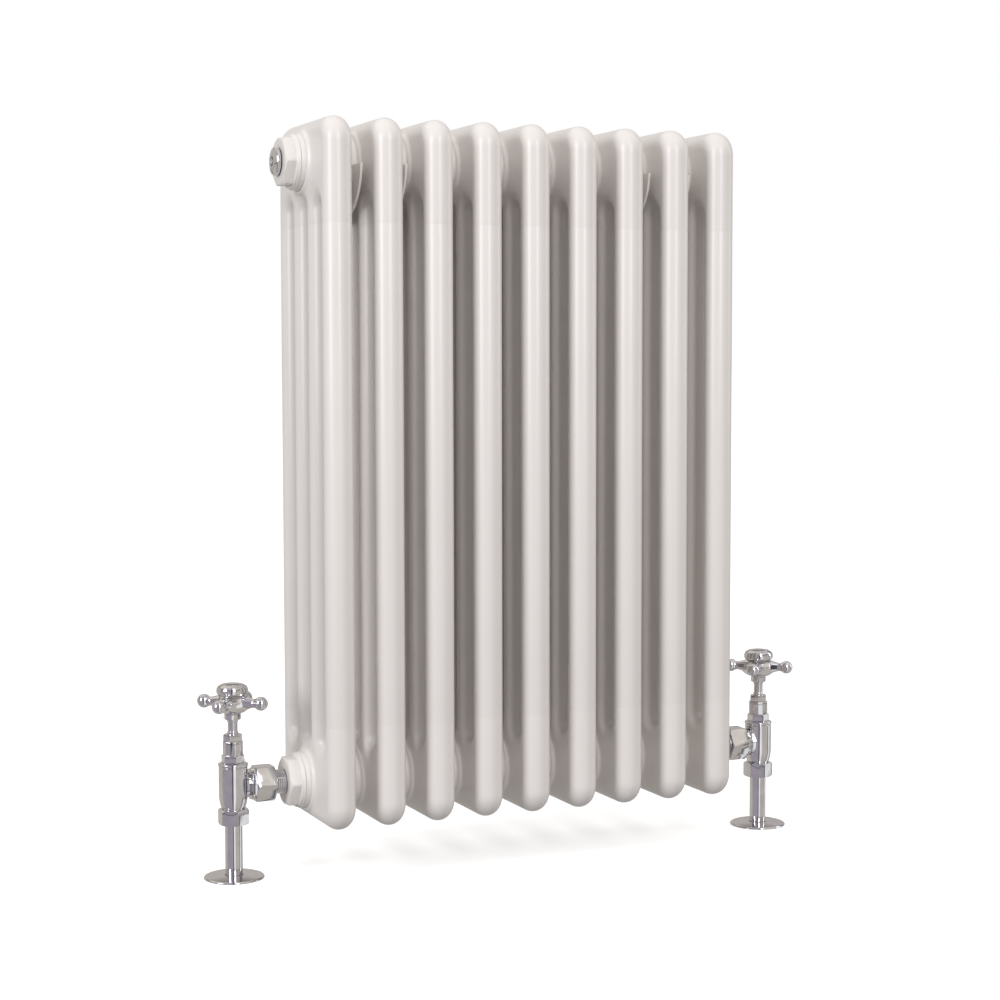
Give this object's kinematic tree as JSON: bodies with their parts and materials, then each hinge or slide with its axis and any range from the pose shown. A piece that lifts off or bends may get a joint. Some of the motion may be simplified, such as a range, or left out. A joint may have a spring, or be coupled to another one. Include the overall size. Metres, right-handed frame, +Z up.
{
  "type": "column radiator with valves",
  "caption": "White steel column radiator on wall hooks, with chromed crosshead angle valves, supply pipes and sliding floor plates, an air vent and a blanking plug.",
  "frame": {"origin": "on the floor, under the middle of the radiator, halfway between its front face and the wall", "axes": "+X along the radiator to the right as seen from the front, +Y towards the wall, +Z up"},
  "size_m": [0.567, 0.174, 0.645],
  "materials": {
    "white_powder_coat": "smooth gloss white powder coat on welded steel",
    "chrome": "polished chrome plate on brass",
    "brass": "bare turned brass",
    "steel": "bright zinc-plated steel",
    "black_rubber": "moulded black rubber",
    "grey_rubber": "moulded dark grey rubber",
    "ptfe": "turned white PTFE"
  },
  "bodies": {
    "root": {"section_1": "white_powder_coat", "section_2": "white_powder_coat", "section_3": "white_powder_coat", "section_4": "white_powder_coat", "section_5": "white_powder_coat", "section_6": "white_powder_coat", "section_7": "white_powder_coat", "section_8": "white_powder_coat", "section_9": "white_powder_coat", "necks_top": "white_powder_coat", "necks_bottom": "white_powder_coat", "bush_top_left": "white_powder_coat", "bush_top_right": "white_powder_coat", "bush_bottom_left": "white_powder_coat", "bush_bottom_right": "white_powder_coat", "bush_seals": "grey_rubber", "vent_body": "chrome", "vent_seal": "black_rubber", "blanking_plug": "chrome", "blanking_seal": "black_rubber", "bracket_left": "white_powder_coat", "bracket_right": "white_powder_coat", "lower_stay": "white_powder_coat", "stay_pad": "grey_rubber", "left_valve_body": "chrome", "left_union_nut": "chrome", "left_tail": "chrome", "left_compression_nut": "chrome", "left_olive": "brass", "left_bonnet": "chrome", "left_gland_nut": "chrome", "left_gland_packing": "ptfe", "left_supply_pipe": "chrome", "right_valve_body": "chrome", "right_union_nut": "chrome", "right_tail": "chrome", "right_compression_nut": "chrome", "right_olive": "brass", "right_bonnet": "chrome", "right_gland_nut": "chrome", "right_gland_packing": "ptfe", "right_supply_pipe": "chrome"},
    "left_valve_disc": {"left_jumper": "brass", "left_jumper_washer": "black_rubber"},
    "left_handle": {"left_spindle": "chrome", "left_crosshead": "chrome", "left_handle_cap": "chrome", "left_handle_screw": "steel"},
    "left_plate": {"left_floor_plate": "chrome"},
    "right_valve_disc": {"right_jumper": "brass", "right_jumper_washer": "black_rubber"},
    "right_handle": {"right_spindle": "chrome", "right_crosshead": "chrome", "right_handle_cap": "chrome", "right_handle_screw": "steel"},
    "right_plate": {"right_floor_plate": "chrome"},
    "vent_pin": {"vent_tip": "ptfe"},
    "bleed_screw": {"vent_screw": "chrome"}
  },
  "joints": [
    {"name": "left_valve_lift", "type": "slide", "parent": "root", "child": "left_valve_disc", "axis": [0, 0, 1], "range_m": [0, 0.006]},
    {"name": "left_handle_turn", "type": "hinge", "parent": "left_valve_disc", "child": "left_handle", "pos_m": [-0.2575, -0.0175, 0.08], "axis": [0, 0, 1], "range_deg": [0, 1441]},
    {"name": "left_plate_slide", "type": "slide", "parent": "root", "child": "left_plate", "axis": [0, 0, 1], "range_m": [0, 0.043]},
    {"name": "right_valve_lift", "type": "slide", "parent": "root", "child": "right_valve_disc", "axis": [0, 0, 1], "range_m": [0, 0.006]},
    {"name": "right_handle_turn", "type": "hinge", "parent": "right_valve_disc", "child": "right_handle", "pos_m": [0.2575, -0.0175, 0.08], "axis": [0, 0, 1], "range_deg": [0, 1441]},
    {"name": "right_plate_slide", "type": "slide", "parent": "root", "child": "right_plate", "axis": [0, 0, 1], "range_m": [0, 0.043]},
    {"name": "vent_pin_slide", "type": "slide", "parent": "root", "child": "vent_pin", "axis": [-1, 0, 0], "range_m": [0, 0.0015]},
    {"name": "bleed_screw_turn", "type": "hinge", "parent": "vent_pin", "child": "bleed_screw", "pos_m": [-0.2125, -0.0175, 0.61], "axis": [-1, 0, 0], "range_deg": [0, 541]}
  ],
  "couplings": [
    {"joint": "left_handle_turn", "follows": "left_valve_lift", "rad_per_m": 4188.8},
    {"joint": "right_handle_turn", "follows": "right_valve_lift", "rad_per_m": 4188.8},
    {"joint": "bleed_screw_turn", "follows": "vent_pin_slide", "rad_per_m": 6283.2}
  ]
}
